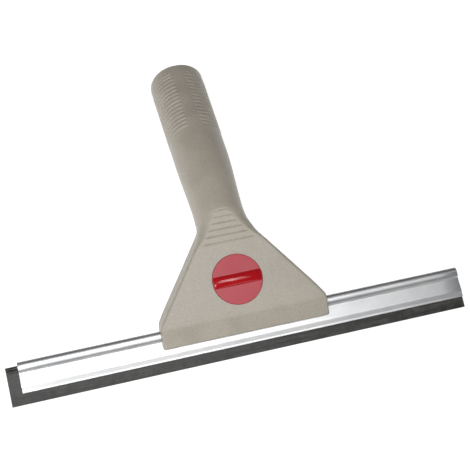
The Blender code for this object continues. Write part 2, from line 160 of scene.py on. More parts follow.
NECK_BEND_LENGTH = NECK_BEND * NECK_BEND_RADIUS
END_S = NECK_BEND_LENGTH + HANDLE_LENGTH
END_ROUND = 2.0
JAW_ROUND = 0.9
CREASE_SOFTNESS = 0.9
WALL = 2.6
GAP = 0.3
COVER_TOP_Y = 50.0
CAVITY_FLOOR_Y = 3.4
SOCKET_MOUTH_RADIUS = 14.4
SOCKET_FLOOR_RADIUS = 13.0
SOCKET_DEPTH = 105.0
SOCKET_CHAMFER = 0.7
KNOB_RADIUS = 16.25
KNOB_GAP = 0.15
RECESS_FLOOR_Z = 8.7
BOSS_Z = 6.2
SHAFT_RADIUS = 4.7
YOKE_HALF_WIDTH = 13.5
YOKE_TOP_Y = 31.0
PAD_HALF_WIDTH = 12.5
PAD_HALF_DEPTH = 2.4
WINDOW_MARGIN = 0.4
WINDOW_FOOT_Y = -1.5
KNOB_BOSS_WALL = 2.8
RAIL_WIDTH = 2.0
WALL_OVERLAP = 1.0           # how far bosses and rails run into the wall that carries them
CUT_MARGIN = 5.0             # how far a cutting shape runs past what it cuts
CUT_TOP_Z = 20.0
BEAD_RADIUS = 3.67
TOP_SQUARENESS = 0.8
FOOT_SQUARENESS = 0.55
WAIST = 2.2
WAIST_Y = -7.2
LIP = 3.4
LIP_Y = -16.4
SCREW_PLACES = [(-42.0, 10.5), (42.0, 10.5), (-25.0, 33.0), (25.0, 33.0), (0.0, 45.3)]
SCREW_BOSS_RADIUS = 3.6
SCREW_HOLE_RADIUS = 1.6
SCREW_HOLE_TOP_Z = 7.5
RING_POINTS = 200            # points round one cross-section
HOLLOW_POINTS = 40
CORNER_POINTS = 40           # points along one rounded corner before they are shared out again
FACE_POINTS = 12
WALL_POINTS = 8


def smooth_step(value, start, end):
    """0 before start, 1 after end, 3t^2 - 2t^3 between."""
    t = np.clip((value - start) / (end - start), 0.0, 1.0)
    return t * t * (3.0 - 2.0 * t)


def mix(a, b, t):
    """a at t = 0, b at t = 1."""
    return a + (b - a) * t


def soft_least(a, b, softness):
    """The lesser of a and b, rounded where they meet: half of a + b - hypot(a - b, softness)."""
    return 0.5 * (a + b - np.hypot(a - b, softness))


def middle_line(s):
    """(y, z, lean) at distance s past the straight part: arcs of 22 and 8 degrees, then straight."""
    first = np.clip(s, 0.0, NECK_BEND_LENGTH) / NECK_BEND_RADIUS
    radius = GRIP_BEND_LENGTH / GRIP_BEND
    second = NECK_BEND + np.clip(s - NECK_BEND_LENGTH, 0.0, GRIP_BEND_LENGTH) / radius
    rest = np.maximum(s - NECK_BEND_LENGTH - GRIP_BEND_LENGTH, 0.0)
    last = NECK_BEND + GRIP_BEND
    y = STRAIGHT_Y + np.minimum(s, 0.0) + NECK_BEND_RADIUS * np.sin(first)
    y = y + radius * (np.sin(second) - np.sin(NECK_BEND)) + rest * math.cos(last)
    z = -NECK_BEND_RADIUS * (1.0 - np.cos(first))
    z = z + radius * (np.cos(second) - math.cos(NECK_BEND)) - rest * math.sin(last)
    return y, z, first + second - NECK_BEND


def tube_radius(s):
    """Neck radius, swelling to the grip radius, then widening slowly and evenly to the end."""
    t = s - NECK_BEND_LENGTH
    swell = mix(NECK_RADIUS, GRIP_RADIUS, smooth_step(t, 0.0, SWELL_LENGTH))
    past = np.maximum(t - SWELL_LENGTH, 0.0)
    return swell + (END_RADIUS - GRIP_RADIUS) * past / (HANDLE_LENGTH - SWELL_LENGTH)


def rounded_corner(corner_x, height, flat, side_x, count):
    """A conic from the flat's edge round the corner to the side wall, tangent to both."""
    reach = np.minimum(corner_x - flat, CORNER_LIMIT * np.hypot(side_x - corner_x, height))
    length = np.hypot(side_x - corner_x, height)
    wall_x = (side_x - corner_x) / length
    wall_h = -height / length
    weight = np.cos(0.5 * np.arccos(np.clip(wall_x, -1.0, 1.0)))[:, None]
    t = np.linspace(0.0, 1.0, count)[None, :]
    share = ((1.0 - t) ** 2, 2.0 * t * (1.0 - t) * weight, t * t)
    total = share[0] + share[1] + share[2]
    start_x = (corner_x - reach)[:, None]
    end_x = (corner_x + reach * wall_x)[:, None]
    end_h = (height + reach * wall_h)[:, None]
    x = (share[0] * start_x + share[1] * corner_x[:, None] + share[2] * end_x) / total
    h = (share[0] * height[:, None] + share[1] * height[:, None] + share[2] * end_h) / total
    return x, h


def body_rings(s, shrink, points):
    """Cross-sections at distances s, square to the middle line and drawn in by shrink.

    Half an outline is flat face, rounded corner, side wall, corner and flat back. It is sampled
    with half of its points shared out by length and half by how much it turns.
    """
    y, z, lean = middle_line(s)
    tube = tube_radius(s)
    slope_side = HEAD_HALF_WIDTH - SIDE_INSET - SIDE_SLOPE * (y - SIDE_Y)
    side = 0.5 * (slope_side + tube + np.hypot(slope_side - tube, SIDE_SOFTNESS))
    limited = soft_least(side, HEAD_HALF_WIDTH, SHOULDER_SOFTNESS)
    half_width = np.where(s < 0.0, limited, np.where(s > NECK_BEND_LENGTH, tube, side))
    plane = (FRONT_Z - z) / np.cos(lean)
    front = np.where(s > 0.0, soft_least(plane, tube, FACE_SOFTNESS), plane)
    roundness = smooth_step(s, ROUND_FROM_S, ROUND_TO_S)
    back_roundness = smooth_step(s, BACK_ROUND_FROM_S, ROUND_TO_S)
    back = mix(BACK_Z, tube, back_roundness)
    softness = CREASE_SOFTNESS * (s < 0.0)
    front_jaw = mix(FRONT_JAW_Z, FRONT_Z, (y - JAW_Y) / (FRONT_CREASE_Y - JAW_Y))
    back_jaw = mix(BACK_JAW_Z, BACK_Z, (y - JAW_Y) / (BACK_CREASE_Y - JAW_Y))
    front = soft_least(front, front_jaw, softness)
    back = soft_least(back, back_jaw, softness)
    face_y = y + front * np.sin(lean)
    flat = FACE_HALF_WIDTH - FACE_SLOPE * np.maximum(face_y - FACE_FOOT_Y, 0.0)
    flat = flat - NECK_NARROWING * smooth_step(face_y, *NECK_NARROWING_Y)
    flat = np.maximum(np.minimum(flat, half_width - FACE_MARGIN), LEAST_FLAT)
    corner = mix(flat + CORNER_REACH, half_width, roundness)
    back_corner = mix(half_width - BACK_CORNER_INSET, half_width, back_roundness)
    back_flat = mix(back_corner - BACK_CORNER_REACH, LEAST_FLAT, back_roundness)
    side_x = half_width - shrink
    top_x, top_h = rounded_corner(np.maximum(corner - shrink, LEAST_CORNER), front - shrink,
                                  np.maximum(flat - shrink, LEAST_INNER_FLAT), side_x, CORNER_POINTS)
    low_x, low_h = rounded_corner(np.maximum(back_corner - shrink, LEAST_CORNER), back - shrink,
                                  np.maximum(back_flat - shrink, LEAST_INNER_FLAT), side_x, CORNER_POINTS)
    face = np.linspace(0.0, 1.0, FACE_POINTS)[None, :-1]
    wall = np.linspace(0.0, 1.0, WALL_POINTS)[None, 1:-1]
    middle = np.zeros_like(side_x)[:, None]
    edge = side_x[:, None]
    x_parts = [face * top_x[:, :1], top_x, mix(top_x[:, -1:], edge, wall), edge,
               mix(edge, low_x[:, -1:], wall), low_x[:, ::-1],
               (1.0 - face[:, 1:]) * low_x[:, :1], middle]
    h_parts = [face * 0.0 + top_h[:, :1], top_h, top_h[:, -1:] * (1.0 - wall), middle,
               -low_h[:, -1:] * wall, -low_h[:, ::-1],
               -low_h[:, :1] + 0.0 * face[:, 1:], -low_h[:, :1]]
    x = np.concatenate(x_parts, axis=1)
    h = np.concatenate(h_parts, axis=1)
    step_x = np.diff(x, axis=1)
    step_h = np.diff(h, axis=1)
    length = np.hypot(step_x, step_h)
    heading = np.unwrap(np.arctan2(step_h, step_x), axis=1)
    turn = np.abs(np.diff(heading, axis=1))
    turning = 0.5 * (np.pad(turn, ((0, 0), (1, 0))) + np.pad(turn, ((0, 0), (0, 1))))
    share = length / length.sum(axis=1, keepdims=True) + turning / turning.sum(axis=1, keepdims=True)
    along = np.concatenate([np.zeros_like(middle), np.cumsum(share, axis=1)], axis=1)
    wanted = np.linspace(0.0, 2.0, points // 2 + 1)
    half_x = np.stack([np.interp(wanted, row, value) for row, value in zip(along, x)])
    half_h = np.stack([np.interp(wanted, row, value) for row, value in zip(along, h)])
    x = np.concatenate([half_x, -half_x[:, -2:0:-1]], axis=1)
    h = np.concatenate([half_h, half_h[:, -2:0:-1]], axis=1)
    sine = np.sin(lean)[:, None]
    cosine = np.cos(lean)[:, None]
    return np.stack([x, y[:, None] + h * sine, z[:, None] + h * cosine], axis=-1)


RIB_START = 65.8             # along the middle line from the end of the neck bend
RIB_PITCH = 3.52
RIB_COUNT = 15
RIB_HEIGHT = 0.5
RIB_SHARE = 0.8              # the part of the pitch that one rib takes up
RIB_BASE = 0.55              # the part of its height that lies below the grip's surface
FRONT_STRIP = (4.1, 5.2)     # the ribs fade in between these distances from the middle
BACK_STRIP = (3.0, 4.5)
GROOVE_PITCH = 4.1
GROOVE_FOOT_Y = 47.0
GROOVE_COUNT = 6
GROOVE_DEPTH = 0.34
GROOVE_HALF = 0.62
GROOVE_REACH = 17.5          # half length of the lowest groove
GROOVE_SHORTER = 3.3         # each next one is this much shorter, eased by the square
GROOVE_EASE = 0.14
FACING_FRONT = 0.55          # a point with more than this much of its direction along Z is on the face


def rib_lift(t, x, front):
    """Height of the grip ribs: rounded rings, faded out towards the smooth strips front and back."""
    phase = (t - RIB_START) / RIB_PITCH
    wave = np.sqrt(np.clip(1.0 - (2.0 * ((phase % 1.0) - 0.5) / RIB_SHARE) ** 2, 0.0, 1.0))
    inside = (phase > 0.0) & (phase < RIB_COUNT)
    before = smooth_step(np.abs(x), *FRONT_STRIP)
    behind = smooth_step(np.abs(x), *BACK_STRIP)
    return RIB_HEIGHT * (wave - RIB_BASE) * inside * np.where(front, before, behind)


def groove_sink(y, x):
    """Depth of the neck grooves: six soft V cuts across the flat, shorter towards the grip."""
    order = (y - GROOVE_FOOT_Y) / GROOVE_PITCH
    nearest = np.clip(np.round(order), 0, GROOVE_COUNT - 1)
    away = np.abs(order - nearest) * GROOVE_PITCH
    half_length = GROOVE_REACH - GROOVE_SHORTER * nearest + GROOVE_EASE * nearest ** 2
    ends = 1.0 - smooth_step(np.abs(x), half_length - 1.0, half_length + 0.5)
    return GROOVE_DEPTH * ends * (1.0 - smooth_step(away, 0.0, GROOVE_HALF))


def outer_form(name, s):
    """The whole outer form through stations s, with rounded ends, ribs and grooves."""
    into_jaw = np.clip((JAW_Y - STRAIGHT_Y + JAW_ROUND - s) / JAW_ROUND, 0.0, 1.0)
    into_end = np.clip((s - END_S + END_ROUND) / END_ROUND, 0.0, 1.0)
    shrink = JAW_ROUND * (1.0 - np.sqrt(1.0 - into_jaw ** 2))
    shrink = shrink + END_ROUND * (1.0 - np.sqrt(1.0 - into_end ** 2))
    rings = body_rings(s, shrink, RING_POINTS)
    y, z = middle_line(s)[:2]
    centre = np.stack([np.zeros_like(y), y, z], axis=-1)[:, None, :]
    outward = rings - centre
    outward /= np.linalg.norm(outward, axis=-1, keepdims=True)
    t = (s - NECK_BEND_LENGTH)[:, None]
    ribs = rib_lift(t, rings[..., 0], outward[..., 2] > 0.0)
    rings = rings + outward * ribs[..., None]
    on_face = (outward[..., 2] > FACING_FRONT) & (s > 0.0)[:, None]
    rings[..., 2] -= np.where(on_face, groove_sink(rings[..., 1], rings[..., 0]), 0.0)
    return tube_of(name, rings)


def stations(spans):
    """Distances joined from (start, end, spacing) spans, each span evenly divided."""
    parts = []
    for start, end, spacing in spans:
        count = max(int(round((end - start) / spacing)), 1)
        parts.append(np.linspace(start, end, count, endpoint=False))
    return np.concatenate(parts + [[spans[-1][1]]])


jaw_s = JAW_Y - STRAIGHT_Y
below_creases = BACK_CREASE_Y - STRAIGHT_Y - 2.4
above_creases = FRONT_CREASE_Y - STRAIGHT_Y + 2.6
head_spans = [
    (jaw_s, jaw_s + JAW_ROUND, 0.18),
    (jaw_s + JAW_ROUND, below_creases, 2.0),
    (below_creases, above_creases, 0.3),
    (above_creases, -38.0, 1.2),
    (-38.0, -30.0, 0.8),
    (-30.0, -6.0, 3.0),
    (-6.0, 0.0, 1.5),
]


def extruded_x(name, outline, x_from, x_to):
    """An outline of (y, z) rows carried straight along X."""
    outline = np.asarray(outline)
    rings = [np.column_stack([np.full(len(outline), x), outline]) for x in (x_from, x_to)]
    return tube_of(name, np.stack(rings))


def extruded_z(name, outline, z_from, z_to):
    """An outline of (x, y) rows carried straight along Z."""
    outline = np.asarray(outline)
    rings = [np.column_stack([outline, np.full(len(outline), z)]) for z in (z_to, z_from)]
    return tube_of(name, np.stack(rings))


def box_tool(name, x_span, y_span, z_span):
    """A plain block."""
    (x0, x1), (y0, y1) = x_span, y_span
    return extruded_z(name, [(x0, y0), (x1, y0), (x1, y1), (x0, y1)], *z_span)


def turned(name, profile, centre=(0.0, 0.0), count=64):
    """A (radius, z) profile that starts and ends on the axis, turned about Z at centre."""
    profile = np.asarray(profile, dtype=float)
    inner = profile[1:-1]
    angle = 2.0 * np.pi * np.arange(count) / count
    radius = inner[:, 0][:, None]
    rings = np.stack([centre[0] + radius * np.cos(angle), centre[1] + radius * np.sin(angle),
                      np.broadcast_to(inner[:, 1][:, None], (len(inner), count))], axis=-1)
    tips = [[*centre, profile[0, 1]], [*centre, profile[-1, 1]]]
    points = np.concatenate([rings.reshape(-1, 3), tips])
    faces = grid_faces(len(inner), count)
    first = np.arange(count)
    after = (first + 1) % count
    last = (len(inner) - 1) * count
    faces += np.column_stack([np.full(count, len(points) - 2), after, first]).tolist()
    faces += np.column_stack([np.full(count, len(points) - 1), last + first, last + after]).tolist()
    return piece_from(name, points, faces)


def outward_facing(piece):
    """Turns a closed mesh's faces out when its volume comes out negative."""
    mesh = piece.data
    mesh.calc_loop_triangles()
    corners = np.empty(3 * len(mesh.loop_triangles), dtype=np.int64)
    mesh.loop_triangles.foreach_get("vertices", corners)
    points = np.empty(3 * len(mesh.vertices))
    mesh.vertices.foreach_get("co", points)
    a, b, c = np.moveaxis(points.reshape(-1, 3)[corners.reshape(-1, 3)], 1, 0)
    if np.einsum("ij,ij->", a, np.cross(b, c)) < 0.0:
        mesh.flip_normals()
    return piece


def combined(piece, tools, operation):
    """One Boolean of piece with all tools at once; the tools are used up."""
    kit = bpy.data.collections.new("tools")
    for tool in tools:
        kit.objects.link(outward_facing(tool))
    step = outward_facing(piece).modifiers.new("step", "BOOLEAN")
    step.operation = operation
    step.operand_type = "COLLECTION"
    step.collection = kit
    step.solver = "MANIFOLD"
    evaluated = piece.evaluated_get(bpy.context.evaluated_depsgraph_get())
    result = bpy.data.meshes.new_from_object(evaluated)
    piece.modifiers.clear()
    piece.data = result
    result.shade_smooth()
    result.set_sharp_from_angle(angle=math.radians(CREASE_ANGLE))
    for tool in tools:
        bpy.data.objects.remove(tool)
    bpy.data.collections.remove(kit)
    return piece


def bead_arc(radius, waist, count):
    """(y, half depth) round the bead from waist to top: a circle made squarer, most at its foot."""
    foot_turn = np.pi - math.asin((waist / radius) ** (1.0 / FOOT_SQUARENESS))
    turn = np.linspace(foot_turn, 0.0, count)
    power = np.where(turn > 0.5 * np.pi, FOOT_SQUARENESS, TOP_SQUARENESS)
    return np.column_stack([-BEAD_RADIUS + radius * np.cos(turn), radius * np.sin(turn) ** power])


def channel_way():
    """Room for the channel: its outline one gap bigger, open below the jaws."""
    slope = (LIP - WAIST) / (WAIST_Y - LIP_Y)
    below = JAW_Y - 2.0
    right = bead_arc(BEAD_RADIUS + GAP, WAIST + GAP, 31)
    foot = np.array([(below, WAIST + GAP + slope * (WAIST_Y - below)), (WAIST_Y, WAIST + GAP)])
    right = np.concatenate([foot, right])
    left = right[-2::-1] * np.array([1.0, -1.0])
    reach = HEAD_HALF_WIDTH + CUT_MARGIN
    return extruded_x("channel_way", np.concatenate([right, left]), -reach, reach)


def shared_room():
    """The blocks that are hollowed out of both halves of the head."""
    hollow_y = np.array([CAVITY_FLOOR_Y, 6.5, 10.0, 16.0, 24.0, 32.0, 38.0])
    hollow_s = np.concatenate([hollow_y - STRAIGHT_Y, [3.0, 7.0, 11.0]])
    hollow = tube_of("hollow", body_rings(hollow_s, np.full(len(hollow_s), WALL), HOLLOW_POINTS))
    window_x = PAD_HALF_WIDTH + WINDOW_MARGIN
    window_z = PAD_HALF_DEPTH + WINDOW_MARGIN
    window_y = (WINDOW_FOOT_Y, CAVITY_FLOOR_Y + WALL_OVERLAP)
    window = box_tool("window", (-window_x, window_x), window_y, (-window_z, window_z))
    return [channel_way(), hollow, window]


above_grooves = NECK_BEND_LENGTH + 4.0
below_ribs = NECK_BEND_LENGTH + 65.0
above_ribs = NECK_BEND_LENGTH + 119.5
grip_spans = [
    (0.0, 6.0, 0.6),
    (6.0, above_grooves, 0.27),
    (above_grooves, below_ribs, 3.0),
    (below_ribs, above_ribs, 0.3),
    (above_ribs, END_S - END_ROUND, 2.0),
    (END_S - END_ROUND, END_S, 0.2),
]
handle_body = outer_form("squeegee_handle", stations(head_spans + grip_spans))
wide = HEAD_HALF_WIDTH + 10.0
end_y, end_z, end_lean = (float(v) for v in middle_line(np.array(END_S)))
BORE_POINTS = 72
bore_turn = 2.0 * np.pi * np.arange(BORE_POINTS) / BORE_POINTS
bore_profile = [
    (SOCKET_DEPTH, SOCKET_FLOOR_RADIUS),
    (0.8, SOCKET_MOUTH_RADIUS),
    (0.0, SOCKET_MOUTH_RADIUS + SOCKET_CHAMFER),
    (-1.0, SOCKET_MOUTH_RADIUS + 1.5),
]
bore = []
for depth, radius in bore_profile:
    out_y = end_y - depth * math.cos(end_lean) + radius * np.sin(bore_turn) * math.sin(end_lean)
    out_z = end_z + depth * math.sin(end_lean) + radius * np.sin(bore_turn) * math.cos(end_lean)
    bore.append(np.column_stack([radius * np.cos(bore_turn), out_y, out_z]))
below_jaws_y = JAW_Y - CUT_MARGIN
cover_room = box_tool("cover_room", (-wide, wide), (below_jaws_y, COVER_TOP_Y + GAP), (-40.0, 0.5 * GAP))
pole_socket = tube_of("pole_socket", np.stack(bore))
combined(handle_body, [cover_room, pole_socket] + shared_room(), "DIFFERENCE")


def plain_pin(name, radius, z_from, z_to, centre, count=64):
    """A plain cylinder about Z."""
    return turned(name, [(0.0, z_from), (radius, z_from), (radius, z_to), (0.0, z_to)], centre, count)


knob_centre = (0.0, KNOB_Y)
inside_front = FRONT_Z - WALL_OVERLAP
inner_parts = [plain_pin("knob_boss", KNOB_RADIUS + KNOB_BOSS_WALL, BOSS_Z, inside_front, knob_centre)]
rail_y = (CAVITY_FLOOR_Y - WALL_OVERLAP, YOKE_TOP_Y)
for edge in (-YOKE_HALF_WIDTH - GAP - RAIL_WIDTH, YOKE_HALF_WIDTH + GAP):
    inner_parts.append(box_tool("rail", (edge, edge + RAIL_WIDTH), rail_y, (GAP, inside_front)))
for place in SCREW_PLACES:
    boss = plain_pin("screw_boss", SCREW_BOSS_RADIUS, 0.5 * GAP, inside_front, place, 32)
    inner_parts.append(boss)
combined(handle_body, inner_parts, "UNION")
mouth = KNOB_RADIUS + KNOB_GAP
recess_profile = [(0.0, RECESS_FLOOR_Z), (mouth, RECESS_FLOOR_Z), (mouth, FRONT_Z - 0.15),
                  (mouth + 0.2, FRONT_Z + 0.05), (mouth + 0.2, CUT_TOP_Z), (0.0, CUT_TOP_Z)]
holes = [turned("knob_recess", recess_profile, knob_centre, 128),
         plain_pin("shaft_hole", SHAFT_RADIUS + GAP, 0.0, CUT_TOP_Z, knob_centre)]
for place in SCREW_PLACES:
    holes.append(plain_pin("screw_hole", SCREW_HOLE_RADIUS, -1.0, SCREW_HOLE_TOP_Z, place, 24))
combined(handle_body, holes, "DIFFERENCE")


def new_group(name, inputs, outputs):
    """An empty shader node group with float inputs (name, default) and named outputs (name, type)."""
    group = bpy.data.node_groups.new(name, "ShaderNodeTree")
    for label, value in inputs:
        socket = group.interface.new_socket(label, in_out="INPUT", socket_type="NodeSocketFloat")
        socket.default_value = value
    for label, kind in outputs:
        group.interface.new_socket(label, in_out="OUTPUT", socket_type=kind)
    return group, group.nodes.new("NodeGroupInput"), group.nodes.new("NodeGroupOutput")


def add_node(tree, kind, **settings):
    """A node with its named settings; keys that start with in_ set the default of that input."""
    node = tree.nodes.new(kind)
    for key, value in settings.items():
        if key.startswith("in_"):
            node.inputs[key[3:].replace("_", " ")].default_value = value
        else:
            setattr(node, key, value)
    return node


def ramped(tree, source, low, high, to_low=0.0, to_high=1.0):
    """Maps source from low..high to to_low..to_high, clamped."""
    node = add_node(tree, "ShaderNodeMapRange", in_From_Min=low, in_From_Max=high,
                    in_To_Min=to_low, in_To_Max=to_high)
    tree.links.new(source, node.inputs["Value"])
    return node.outputs["Result"]


CELL_SCALE = 0.55            # scale of the cells beside that of the fine noise
CELL_HEIGHT = 0.6
SPECKLE_RANGE = (0.38, 0.62)
CLOUD_RANGE = (0.35, 0.65)


def moulded_grain_group():
    """Spark-eroded grain: fine noise with cells as height, the noise as speckle, slow noise as cloud."""
    group, entry, exit_node = new_group(
        "moulded_grain", [("Grain Scale", 2600.0), ("Cloud Scale", 45.0)],
        [("Height", "NodeSocketFloat"), ("Speckle", "NodeSocketFloat"), ("Cloud", "NodeSocketFloat")])
    place = add_node(group, "ShaderNodeTexCoord")
    fine = add_node(group, "ShaderNodeTexNoise", in_Detail=3.0, in_Roughness=0.65)
    cells = add_node(group, "ShaderNodeTexVoronoi", feature="SMOOTH_F1")
    cloud = add_node(group, "ShaderNodeTexNoise", in_Detail=4.0, in_Roughness=0.55)
    for node in (fine, cells, cloud):
        group.links.new(place.outputs["Object"], node.inputs["Vector"])
    group.links.new(entry.outputs["Grain Scale"], fine.inputs["Scale"])
    coarse = add_node(group, "ShaderNodeMath", operation="MULTIPLY")
    coarse.inputs[1].default_value = CELL_SCALE
    group.links.new(entry.outputs["Grain Scale"], coarse.inputs[0])
    group.links.new(coarse.outputs[0], cells.inputs["Scale"])
    group.links.new(entry.outputs["Cloud Scale"], cloud.inputs["Scale"])
    both = add_node(group, "ShaderNodeMath", operation="MULTIPLY_ADD")
    both.inputs[1].default_value = CELL_HEIGHT
    group.links.new(cells.outputs["Distance"], both.inputs[0])
    group.links.new(fine.outputs["Fac"], both.inputs[2])
    group.links.new(both.outputs[0], exit_node.inputs["Height"])
    group.links.new(ramped(group, fine.outputs["Fac"], *SPECKLE_RANGE), exit_node.inputs["Speckle"])
    group.links.new(ramped(group, cloud.outputs["Fac"], *CLOUD_RANGE), exit_node.inputs["Cloud"])
    return group


moulded_grain = moulded_grain_group()


def new_material(name, **values):
    """A node material whose even values sit on the shader's own sockets."""
    material = bpy.data.materials.new(name)
    material.use_nodes = True
    shader = material.node_tree.nodes["Principled BSDF"]
    for key, value in values.items():
        shader.inputs[key.replace("_", " ")].default_value = value
    return material, material.node_tree, shader


def mixed_colour(tree, factor, first, second):
    """Colour first where factor is 0 and second where it is 1; either may be a socket."""
    node = add_node(tree, "ShaderNodeMix", data_type="RGBA")
    tree.links.new(factor, node.inputs["Factor"])
    for value, socket in ((first, node.inputs[6]), (second, node.inputs[7])):
        if isinstance(value, tuple):
            socket.default_value = (*value, 1.0)
        else:
            tree.links.new(value, socket)
    return node.outputs[2]


def bumped(tree, shader, height, strength, distance):
    """Feeds height to the shader's normal through a Bump node."""
    node = add_node(tree, "ShaderNodeBump", in_Strength=strength, in_Distance=distance)
    tree.links.new(height, node.inputs["Height"])
    tree.links.new(node.outputs["Normal"], shader.inputs["Normal"])


GRAIN_DEPTH = 0.0002
SPECKLE_SHARE = 0.55
CLOUD_SHARE = 0.45


def grained_plastic(name, dark, pale, rough, grain_scale, bump):
    """Moulded plastic: grain in the height, speckle and clouds in colour, clouds in roughness."""
    material, tree, shader = new_material(name, Specular_IOR_Level=0.5)
    grain = add_node(tree, "ShaderNodeGroup", node_tree=moulded_grain)
    grain.inputs["Grain Scale"].default_value = grain_scale
    blend = add_node(tree, "ShaderNodeMath", operation="MULTIPLY_ADD")
    blend.inputs[1].default_value = SPECKLE_SHARE
    half = add_node(tree, "ShaderNodeMath", operation="MULTIPLY")
    half.inputs[1].default_value = CLOUD_SHARE
    tree.links.new(grain.outputs["Cloud"], half.inputs[0])
    tree.links.new(grain.outputs["Speckle"], blend.inputs[0])
    tree.links.new(half.outputs[0], blend.inputs[2])
    tree.links.new(mixed_colour(tree, blend.outputs[0], dark, pale), shader.inputs["Base Color"])
    tree.links.new(ramped(tree, grain.outputs["Cloud"], 0.0, 1.0, *rough), shader.inputs["Roughness"])
    bumped(tree, shader, grain.outputs["Height"], bump, GRAIN_DEPTH)
    return material


greige = grained_plastic("greige_plastic", dark=(0.375, 0.34, 0.28), pale=(0.50, 0.455, 0.385),
                         rough=(0.36, 0.46), grain_scale=1150.0, bump=0.45)
handle_body.data.materials.clear()
handle_body.data.materials.append(greige)
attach(handle_body, "handle")
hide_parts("handle_body")

# ------------------------------------------------------------------ back cover
# The back half of the head, moulded in the same plastic. It carries the rear jaw, and sleeves
# with countersunk holes that take the five screws.
cover_back = outer_form("squeegee_cover", stations(head_spans + [(0.0, 22.0, 1.5)]))
far = 60.0
room = [box_tool("handle_room", (-wide, wide), (COVER_TOP_Y, COVER_TOP_Y + far), (-far, far)),
        box_tool("front_room", (-wide, wide), (below_jaws_y, COVER_TOP_Y + 30.0), (-0.5 * GAP, far))]
combined(cover_back, room + shared_room(), "DIFFERENCE")
SLEEVE_RADIUS = 4.4
# from outside in: a chamfered mouth, the room for the screw's head, and the hole for its shank
recess = [(0.0, -30.0), (3.5, -30.0), (3.5, -9.02), (3.1, -8.7),
          (3.1, -5.7), (1.7, -5.7), (1.7, 1.0), (0.0, 1.0)]
sleeve_z = (WALL_OVERLAP - BACK_Z, -0.5 * GAP)
sleeves = [plain_pin("sleeve", SLEEVE_RADIUS, *sleeve_z, place, 40) for place in SCREW_PLACES]
recesses = [turned("recess", recess, place, 40) for place in SCREW_PLACES]
combined(cover_back, sleeves, "UNION")
combined(cover_back, recesses, "DIFFERENCE")
cover_back.data.materials.clear()
cover_back.data.materials.append(greige)
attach(cover_back, "handle")
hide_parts("back_cover")

# ------------------------------------------------------------------ cover screws
# Five zinc-plated self-tapping screws with a pan head, a cross recess and a raised thread. They
# are driven from the back through the cover into the bosses of the handle body.
SCREW_PITCH = 1.1
SCREW_HEAD_Z = -7.98
SCREW_NECK_Z = -6.0
SCREW_TIP_Z = 6.1
SCREW_HEAD_RADIUS = 2.7
SCREW_CORE = 1.1
SCREW_THREAD = 0.2
SCREW_POINTS = 72
SCREW_HEAD_ROWS = 20
SCREW_SHANK_ROWS = 84
SCREW_DOME = 0.75
SCREW_DOME_DEPTH = 0.95      # from the top of the dome to the head's straight side
SCREW_ROOT = 0.25            # how far the thread's root lies inside the core radius
SCREW_THREAD_HALF = 0.22     # half width of the thread at its foot, as a part of the pitch
SCREW_POINT_LENGTH = 1.6
SCREW_POINT_TAPER = 0.85
CROSS_HALF_WIDTH = 0.42
CROSS_REACH = 1.75
CROSS_DEPTH = 1.2


def screw_piece(name, centre):
    """Head as a polar grid with a cross pressed in, shank as a grid whose radius follows a helix."""
    angle = 2.0 * np.pi * np.arange(SCREW_POINTS) / SCREW_POINTS
    part = np.linspace(0.02, 1.0, SCREW_HEAD_ROWS)[:, None]
    radius = SCREW_HEAD_RADIUS * part
    x = radius * np.cos(angle)
    y = radius * np.sin(angle)
    dome = SCREW_DOME * part ** 4
    upright = np.maximum(np.abs(x) / CROSS_HALF_WIDTH, np.abs(y) / CROSS_REACH)
    level = np.maximum(np.abs(y) / CROSS_HALF_WIDTH, np.abs(x) / CROSS_REACH)
    in_cross = 1.0 - smooth_step(np.minimum(upright, level), 0.75, 1.15)
    pressed = CROSS_DEPTH * in_cross * (1.0 - 0.45 * np.hypot(x, y) / CROSS_REACH)
    head = np.stack([x, y, SCREW_HEAD_Z + dome + np.maximum(pressed, 0.0)], axis=-1)
    collar_r = np.array([SCREW_HEAD_RADIUS, SCREW_HEAD_RADIUS, SCREW_CORE + SCREW_THREAD])[:, None]
    collar_z = np.array([SCREW_HEAD_Z + SCREW_DOME_DEPTH, SCREW_NECK_Z - 0.1, SCREW_NECK_Z])[:, None]
    collar = np.stack([collar_r * np.cos(angle), collar_r * np.sin(angle), collar_z + 0.0 * angle], axis=-1)
    z = np.linspace(SCREW_NECK_Z + 0.15, SCREW_TIP_Z, SCREW_SHANK_ROWS)[:, None]
    phase = (z / SCREW_PITCH - angle / (2.0 * np.pi)) % 1.0
    crest = np.clip(1.0 - np.abs(phase - 0.5) / SCREW_THREAD_HALF, 0.0, 1.0)
    narrowing = 1.0 - SCREW_POINT_TAPER * smooth_step(z, SCREW_TIP_Z - SCREW_POINT_LENGTH, SCREW_TIP_Z)
    shank_r = (SCREW_CORE - SCREW_ROOT + (SCREW_THREAD + SCREW_ROOT) * crest) * narrowing
    shank = np.stack([shank_r * np.cos(angle), shank_r * np.sin(angle), z + 0.0 * angle], axis=-1)
    rings = np.concatenate([head, collar, shank]) + np.array([*centre, 0.0])
    return outward_facing(tube_of(name, rings, crease=40.0))


def plated_steel(name, dark, pale, rough):
    """Plated steel: metal with faint clouds in colour, speckle in roughness and a fine grain."""
    material, tree, shader = new_material(name, Metallic=1.0)
    grain = add_node(tree, "ShaderNodeGroup", node_tree=moulded_grain)
    grain.inputs["Grain Scale"].default_value = 3500.0
    grain.inputs["Cloud Scale"].default_value = 420.0
    tree.links.new(mixed_colour(tree, grain.outputs["Cloud"], dark, pale), shader.inputs["Base Color"])
    tree.links.new(ramped(tree, grain.outputs["Speckle"], 0.0, 1.0, *rough), shader.inputs["Roughness"])
    bumped(tree, shader, grain.outputs["Height"], strength=0.12, distance=0.00005)
    return material


